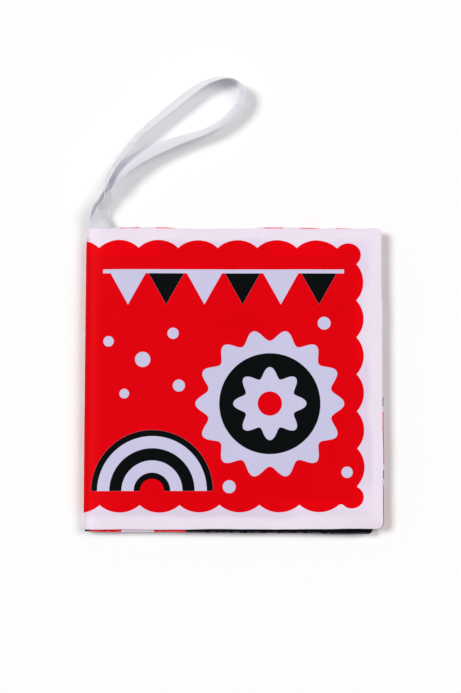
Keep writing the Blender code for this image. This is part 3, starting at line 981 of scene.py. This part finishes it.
def simulatePuckers(leaf, setup):
    # the fast part of each sheet's height, as a field over the leaf
    places, faces, index, x, y = bagMesh(leaf, setup)
    bag = newPiece(f"{leaf.name}_bag", places, faces)
    pin = bag.vertex_groups.new(name="spine")
    pin.add([int(n) for side in (1, -1) for n in index[side][0]], 1.0, "REPLACE")
    cloth = bag.modifiers.new("cloth", "CLOTH")
    feel = cloth.settings
    feel.quality = setup["quality"]
    feel.mass = setup["mass"]
    feel.tension_stiffness = feel.compression_stiffness = setup["stretch"]
    feel.shear_stiffness = setup["shear"]
    feel.bending_stiffness = setup["bend"]
    feel.use_pressure = True
    feel.uniform_pressure_force = setup["pressure"]
    feel.shrink_min = -setup["grow"]
    feel.vertex_group_mass = "spine"
    feel.effector_weights.gravity = 0
    cloth.collision_settings.use_collision = False
    cloth.point_cache.frame_start = 1
    cloth.point_cache.frame_end = setup["frames"]
    for moment in range(1, setup["frames"] + 1):
        scene.frame_set(moment)
    settle(bag)
    places = np.zeros(len(bag.data.vertices) * 3)
    bag.data.vertices.foreach_get("co", places)
    height = places.reshape(-1, 3)[:, 2] / (setup["scale"] * mm)
    bpy.data.objects.remove(bag)
    scene.frame_set(1)
    fields, rim = {}, slice(setup["rim"], -setup["rim"])
    for side in (1, -1):
        field = height[index[side]] * side
        field = field - blurred(field, setup["blur"] / setup["cell"])
        field = np.clip(field / field[rim, rim].std() * setup["size"], -setup["limit"], setup["limit"])
        fields[side] = onGrid(leaf, field, x, y, setup)
    return fields


def blurred(field, reach):
    kernel = np.exp(-np.linspace(-3, 3, int(3 * reach) * 2 + 1) ** 2 / 2)
    kernel = kernel / kernel.sum()
    pad = len(kernel) // 2
    for axis in (0, 1):
        lines = np.moveaxis(field, axis, 1)
        lines = np.pad(lines, ((0, 0), (pad, pad)), mode="reflect", reflect_type="odd")
        field = np.moveaxis(np.array([np.convolve(line, kernel, mode="valid") for line in lines]), 1, axis)
    return field


def onGrid(leaf, field, x, y, setup):
    # the field at the leaf's own columns and rows, calm along the seams and at the spine
    across = np.array([np.interp(leaf.middle[:, 0], x, line) for line in field.T])
    grid = np.array([np.interp(leaf.rows, y, line) for line in across.T])
    share = setup["calmShare"]
    calm = share + (1 - share) * np.clip(leaf.edge / setup["calmEdge"] - setup["calmStart"], 0, 1)
    fromSpine = leaf.width - leaf.dx - setup["calmSpineStart"]
    return grid * calm * np.clip(fromSpine / setup["calmSpine"], 0, 1)


def faceHeight(leaf, side, puckers):
    # how far a cloth's face is off the middle of its leaf, and 1 where the ribbon's opening is
    s = leafSetup
    distance = leaf.outline(leaf.dx, leaf.fromTail)[2]
    printed = leaf.name == "front_cover" and side > 0
    rise = leaf.edgeRise(distance) + puckers * (puckerSetup["frontGain"] if printed else 1)
    if printed:
        swell = s["frontSwell"] * (1 - np.exp(-distance / s["frontSwellDepth"]))
        rise = np.maximum(rise + swell, s["frontDip"])
    else:
        rise = np.clip(rise, *s["hiddenSwell"])
    opening = np.zeros_like(rise)
    if leaf.name == "front_cover":
        opening = ribbonOpening(leaf.middle[leaf.column, 0], leaf.height - leaf.fromTail)
        rise = rise + opening * (openingSetup["rise"] - rise)
    half = leaf.half[leaf.column]
    return half + rise * (half / s["half"]), opening, distance


def marginRings():
    # round the turned edge and back along the margin: inset, share of the face's height, run of cloth
    s, rings = leafSetup, []
    for step in range(1, s["lipSteps"] + 1):
        angle = math.pi * (1 - step / s["lipSteps"])
        inset, share = s["lip"] * (1 - math.sin(angle)), (1 - math.cos(angle)) / 2
        rings.append((inset, share, s["lip"] * (math.pi - angle)))
    return rings + [(inset, 0.0, s["lip"] * math.pi + inset) for inset in s["margin"]]


# where an inner cloth shows past the outer one: all along the head, and the fore edge near the tail
peekSetup = {"share": 0.6, "uneven": 0.7, "stretch": 1.5, "foreShare": 0.8, "foreHeight": 0.45}


def makeCloth(leaf, side, puckers):
    s, p = leafSetup, peekSetup
    layer = "outer" if side > 0 else "inner"
    columns, rows = leaf.dx.shape
    height, opening, distance = faceHeight(leaf, side, puckers)
    places, newX, newTail = leaf.lay(leaf.column, leaf.dx, leaf.fromTail, side * height)
    steps = np.linalg.norm(np.diff(leaf.section[0 if side > 0 else 1], axis=0), axis=1)
    run = np.concatenate([[0], np.cumsum(steps)])
    spineExtra = (run[leaf.rolled - 1] - run)[:leaf.rolled]
    along = newX.copy()
    along[:leaf.rolled] = leaf.fromFore[leaf.rolled - 1] + spineExtra[:, None]
    cut = [np.stack([along, newTail, distance], axis=-1).reshape(-1, 3)]
    allPlaces = [places.reshape(-1, 3)]

    c, r = leaf.chain().T
    count = len(c)
    top = height[c, r]
    sewn = s["seam"] * (leaf.half[c] / s["half"])
    seam = sewn * (1 - opening[c, r]) + openingSetup["seam"] * opening[c, r]
    tailEdge = (r == 0) & (c < columns - 1)
    headEdge = r == rows - 1
    foreEdge = ~tailEdge & ~headEdge
    uneven = np.clip(p["share"] + wander(c * p["stretch"], leaf.shape["seed"] + 4, p["uneven"]), 0, 1)
    atFore = foreEdge & (r < rows * p["foreHeight"])
    peek = np.where(headEdge, uneven, np.where(atFore, p["foreShare"], 0.0))
    peek = peek * (leaf.shape["peek"] if side < 0 else 0.0)
    rings = marginRings()
    for inset, share, past in rings:
        ringPlaces, ringX, ringTail = leaf.ring(inset, side * (seam + (top - seam) * share))
        fade = min(1, share * 2) if inset <= s["lip"] else 0
        ringPlaces[:, 1] += np.where(headEdge, peek * fade, 0) * mm
        ringPlaces[:, 0] += np.where(foreEdge, peek * fade, 0) * mm
        allPlaces.append(ringPlaces)
        beyond = past - s["lip"]
        a = np.where(foreEdge, -beyond, np.where(c < leaf.rolled, along[c, r], ringX))
        b = np.where(tailEdge, -beyond, np.where(headEdge, leaf.height + beyond, ringTail))
        cut.append(np.stack([a, b, np.full(count, -beyond)], axis=-1))

    faces = []
    for i, j in np.ndindex(columns - 1, rows - 1):
        k = i * rows + j
        faces.append((k, k + rows, k + rows + 1, k + 1))
    before = c * rows + r
    for ring in range(len(rings)):
        after = columns * rows + ring * count + np.arange(count)
        for k in range(count - 1):
            faces.append((before[k], after[k], after[k + 1], before[k + 1]))
        before = after
    turn = -1 if side * leaf.up < 0 else 1
    faces = [tuple(int(i) for i in face[::turn]) for face in faces]
    material = clothLooks[f"{leaf.name}_{layer}"][1]
    cloth = newPiece(f"{leaf.name}_{layer}_fabric", np.concatenate(allPlaces), faces, material)
    storeCut(cloth, np.concatenate(cut) * mm)
    thicken(cloth, s["cloth"] * mm)
    return cloth, height


def thicken(piece, thickness):
    shell = piece.modifiers.new("cloth", "SOLIDIFY")
    shell.thickness = thickness
    shell.offset = -1
    settle(piece)
    piece.data.shade_smooth()


def settle(piece):
    # makes the modifiers' result the mesh itself
    graph = bpy.context.evaluated_depsgraph_get()
    graph.update()
    mesh = bpy.data.meshes.new_from_object(piece.evaluated_get(graph))
    piece.modifiers.clear()
    piece.data = mesh


plySetup = {
    "start": 4.9,             # from the stitch line
    "inset": 6.3,             # from the sewn edges
    "gap": 0.12,
    "film": 0.08,
    "crinkle": 0.05,
    "crinkleBlur": 0.7,
    "crinkleSeed": 40,
    "roundEdge": 2.2,
    "edgeLoss": 0.2,
}


def makePly(leaf, name, top, bottom, material):
    # a closed flat piece between the cloths, from heights of both its faces over the leaf's grid
    p = plySetup
    columns = np.where((leaf.middle[:, 0] > p["start"]) & (leaf.fromFore > p["inset"]))[0]
    rows = np.where((leaf.rows > p["inset"]) & (leaf.rows < leaf.height - p["inset"]))[0]
    cells = np.ix_(columns, rows)
    column, dx, fromTail = leaf.column[cells], leaf.dx[cells], leaf.fromTail[cells]
    layers = []
    for height in (top, bottom):
        places, newX, newTail = leaf.lay(column, dx, fromTail, height[cells])
        layers.append(places.reshape(-1, 3))
    count, deep = len(columns) * len(rows), len(rows)
    faces = []
    for i, j in np.ndindex(len(columns) - 1, deep - 1):
        k = i * deep + j
        faces.append((k, k + deep, k + deep + 1, k + 1))
        faces.append((count + k + 1, count + k + deep + 1, count + k + deep, count + k))
    last = len(columns) - 1
    rim = [i * deep for i in range(last)] + [last * deep + j for j in range(deep - 1)]
    rim += [i * deep + deep - 1 for i in range(last, 0, -1)] + list(range(deep - 1, 0, -1))
    for a, b in zip(rim, rim[1:] + rim[:1]):
        faces.append((b, a, count + a, count + b))
    if leaf.up < 0:
        faces = [face[::-1] for face in faces]
    piece = newPiece(name, np.concatenate(layers), faces, material)
    cut = np.stack([newX, newTail, np.zeros_like(newX)], axis=-1).reshape(-1, 3)
    storeCut(piece, np.concatenate([cut, cut]) * mm)
    piece.data.shade_smooth()
    piece.data.set_sharp_from_angle(angle=math.radians(50))
    return piece


def fillLeaf(leaf, faces, body):
    # film under the outer cloth, wadding between it and the inner cloth, from the heights of both faces
    s, p = leafSetup, plySetup
    pick = np.random.default_rng(leaf.shape["seed"] + p["crinkleSeed"])
    crinkle = blurred(pick.uniform(-1, 1, leaf.dx.shape), p["crinkleBlur"])
    crinkle = np.clip(crinkle / crinkle.std() / 2, -1, 1) * p["crinkle"]
    filmTop = faces[1] - s["cloth"] - p["gap"] + crinkle
    film = makePly(leaf, f"{leaf.name}_film_sheet", filmTop, filmTop - p["film"], filmMaterial)
    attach(film, body)
    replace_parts(film, f"{leaf.name}_crinkle_film")
    loss = (1 - np.clip((leaf.edge - p["inset"]) / p["roundEdge"], 0, 1)) ** 2 * p["edgeLoss"]
    padTop = faces[1] - s["cloth"] - p["film"] - 2 * p["gap"] - p["crinkle"] - loss
    padBottom = -(faces[-1] - s["cloth"] - p["gap"] - loss)
    pad = makePly(leaf, f"{leaf.name}_wadding_pad", padTop, padBottom, waddingMaterial)
    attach(pad, body)
    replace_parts(pad, f"{leaf.name}_wadding")


threadSetup = {"inset": 0.6, "radius": 0.12, "sides": 6, "start": 7.0}      # start: from the stitch line


def makeSeamThread(leaf, body):
    # the thread between the two cloths, round the three sewn edges
    t = threadSetup
    c, r = leaf.chain().T
    line = leaf.ring(t["inset"], np.zeros(len(c)))[0]
    line = line[leaf.middle[c, 0] > t["start"]]
    ahead = np.gradient(line, axis=0)
    ahead = ahead / np.linalg.norm(ahead, axis=1)[:, None]
    flat = np.cross(ahead, (0, 0, 1))
    turn = np.linspace(0, 2 * math.pi, t["sides"], endpoint=False)
    ring = flat[:, None] * np.cos(turn)[:, None] + np.array((0, 0, 1)) * np.sin(turn)[:, None]
    places = (line[:, None] + ring * t["radius"] * mm).reshape(-1, 3)
    n, faces = t["sides"], []
    for k, i in np.ndindex(len(line) - 1, n):
        a, b = k * n + i, k * n + (i + 1) % n
        faces.append((a, b, b + n, a + n))
    faces += [tuple(range(n))[::-1], tuple(range(len(places) - n, len(places)))]
    thread = newPiece(f"{leaf.name}_seam_stitching", places, faces, threadMaterial)
    facingOut(thread)
    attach(thread, body)
    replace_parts(thread, f"{leaf.name}_seam_thread")


def makeLeaf(name):
    leaf = Leaf(name)
    body = "root" if name == "back_cover" else name
    puckers = simulatePuckers(leaf, puckerSetup)
    faces = {}
    for side, layer in ((1, "outer"), (-1, "inner")):
        cloth, faces[side] = makeCloth(leaf, side, puckers[side])
        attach(cloth, body)
        nodes = [f"{name}_{layer}_cloth"]
        if layer == "outer" or "cover" in name:
            nodes.append(f"{name}_spine_{layer}_cloth")
        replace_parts(cloth, *nodes)
        (leaf.width + 8) * mm
    fillLeaf(leaf, faces, body)
    makeSeamThread(leaf, body)
    print(name, "ready")


for leafName in leafNames:
    makeLeaf(leafName)

# the stitches of the spine are the CAD's own
stitches = bpy.data.objects["spine_stitches"]
stitches.data.materials.clear()
stitches.data.materials.append(threadMaterial)

# floor and light
floorSetup = {"size": 3.0, "colour": (0.96, 0.96, 0.96, 1), "gap": 0.2 * mm}
lightSetup = {
    "world": 0.21,
    "suns": [
        {"energy": 1.85, "angle": 22.0, "from": (-0.72, 0.20, 1.0)},
        {"energy": 1.36, "angle": 34.0, "from": (0.78, 0.20, 1.0)},
    ],
}


def makeFloor(setup):
    half = setup["size"] / 2
    corners = [(-half, -half, 0), (half, -half, 0), (half, half, 0), (-half, half, 0)]
    pale = Graph("pale_floor", {"Roughness": 0.9, "Base Color": setup["colour"]}).material
    floor = newPiece("floor", corners, [(0, 1, 2, 3)], pale)
    floor.location.z = -setup["gap"]


def makeLight(setup):
    world = bpy.data.worlds.new("studio")
    world.use_nodes = True
    tree = world.node_tree
    sky = tree.nodes["Background"]
    sky.inputs["Color"].default_value = (1, 1, 1, 1)
    # white to the eye and in reflections, plain light to everything else
    path, white = tree.nodes.new("ShaderNodeLightPath"), tree.nodes.new("ShaderNodeMapRange")
    white.inputs["To Min"].default_value = setup["world"]
    seen = path.outputs["Is Camera Ray"]
    for ray in ("Is Glossy Ray", "Is Transmission Ray"):
        either = tree.nodes.new("ShaderNodeMath")
        tree.links.new(seen, either.inputs[0])
        tree.links.new(path.outputs[ray], either.inputs[1])
        seen = either.outputs[0]
    tree.links.new(seen, white.inputs["Value"])
    tree.links.new(white.outputs["Result"], sky.inputs["Strength"])
    scene.world = world
    for lamp in setup["suns"]:
        sun = bpy.data.lights.new("sun", "SUN")
        sun.energy = lamp["energy"]
        sun.angle = math.radians(lamp["angle"])
        holder = bpy.data.objects.new("sun", sun)
        holder.rotation_euler = Vector(lamp["from"]).to_track_quat("Z", "Y").to_euler()
        scene.collection.objects.link(holder)


makeFloor(floorSetup)
makeLight(lightSetup)
scene.view_settings.view_transform = "Standard"
